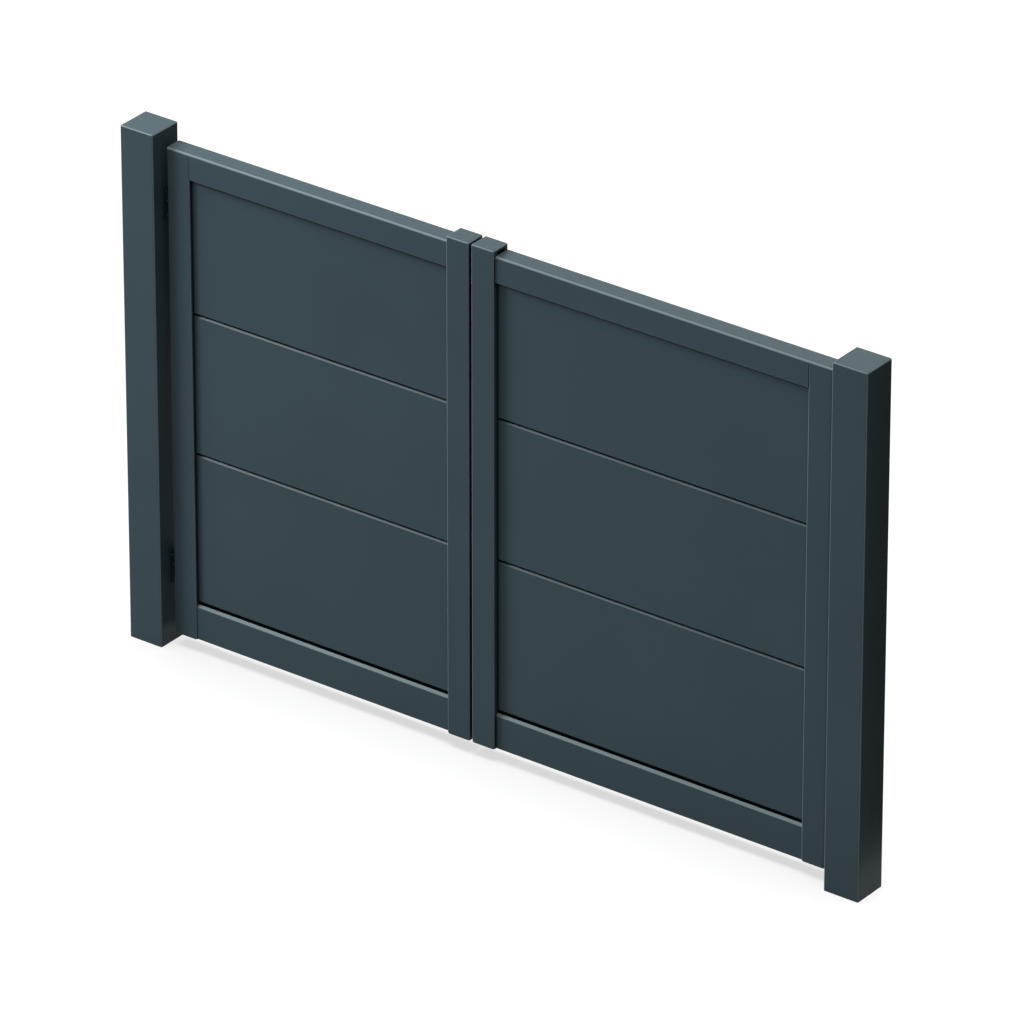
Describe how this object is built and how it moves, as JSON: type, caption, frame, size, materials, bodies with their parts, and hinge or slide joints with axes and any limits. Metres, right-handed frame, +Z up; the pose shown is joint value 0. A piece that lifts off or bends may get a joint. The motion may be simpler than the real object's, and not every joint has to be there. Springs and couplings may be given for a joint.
{
  "type": "double swing gate with posts",
  "caption": "Anthracite aluminium driveway gate: unequal leaves of wide flush planks, hung on rear hinges between square capped posts, that swing to the rear.",
  "frame": {"origin": "middle of the left post's foot face, at ground level", "axes": "+X along the gate to the right post, +Y to the rear where the leaves open, +Z up"},
  "size_m": [3.3, 0.15, 2.11],
  "materials": {
    "powder_coat": "satin anthracite powder coat",
    "hinge_pin_steel": "turned stainless steel",
    "plug_plastic": "moulded black plastic",
    "mill_aluminium": "mill finish"
  },
  "bodies": {
    "posts": {"left_lower_hinge_pin": "hinge_pin_steel", "left_lower_hinge_post_wing": "powder_coat", "left_post": "powder_coat", "left_post_cap": "powder_coat", "left_post_foot": "mill_aluminium", "left_upper_hinge_pin": "hinge_pin_steel", "left_upper_hinge_post_wing": "powder_coat", "right_lower_hinge_pin": "hinge_pin_steel", "right_lower_hinge_post_wing": "powder_coat", "right_post": "powder_coat", "right_post_cap": "powder_coat", "right_post_foot": "mill_aluminium", "right_upper_hinge_pin": "hinge_pin_steel", "right_upper_hinge_post_wing": "powder_coat"},
    "left_leaf": {"left_bottom_rail": "powder_coat", "left_hinge_stile": "powder_coat", "left_lower_hinge_leaf_wing": "powder_coat", "left_lower_plank": "powder_coat", "left_meeting_stile": "powder_coat", "left_meeting_stile_cap": "powder_coat", "left_middle_plank": "powder_coat", "left_stile_foot_plugs": "plug_plastic", "left_top_capping": "powder_coat", "left_top_rail": "powder_coat", "left_upper_hinge_leaf_wing": "powder_coat", "left_upper_plank": "powder_coat"},
    "right_leaf": {"right_bottom_rail": "powder_coat", "right_hinge_stile": "powder_coat", "right_lower_hinge_leaf_wing": "powder_coat", "right_lower_plank": "powder_coat", "right_meeting_stile": "powder_coat", "right_meeting_stile_cap": "powder_coat", "right_middle_plank": "powder_coat", "right_stile_foot_plugs": "plug_plastic", "right_top_capping": "powder_coat", "right_top_rail": "powder_coat", "right_upper_hinge_leaf_wing": "powder_coat", "right_upper_plank": "powder_coat"}
  },
  "joints": [
    {"name": "left_leaf_swing", "type": "hinge", "parent": "posts", "child": "left_leaf", "pos_m": [0.09, 0.05, 0], "axis": [0, 0, 1], "range_deg": [0, 105]},
    {"name": "right_leaf_swing", "type": "hinge", "parent": "posts", "child": "right_leaf", "pos_m": [3.06, 0.05, 0], "axis": [0, 0, -1], "range_deg": [0, 105]}
  ]
}
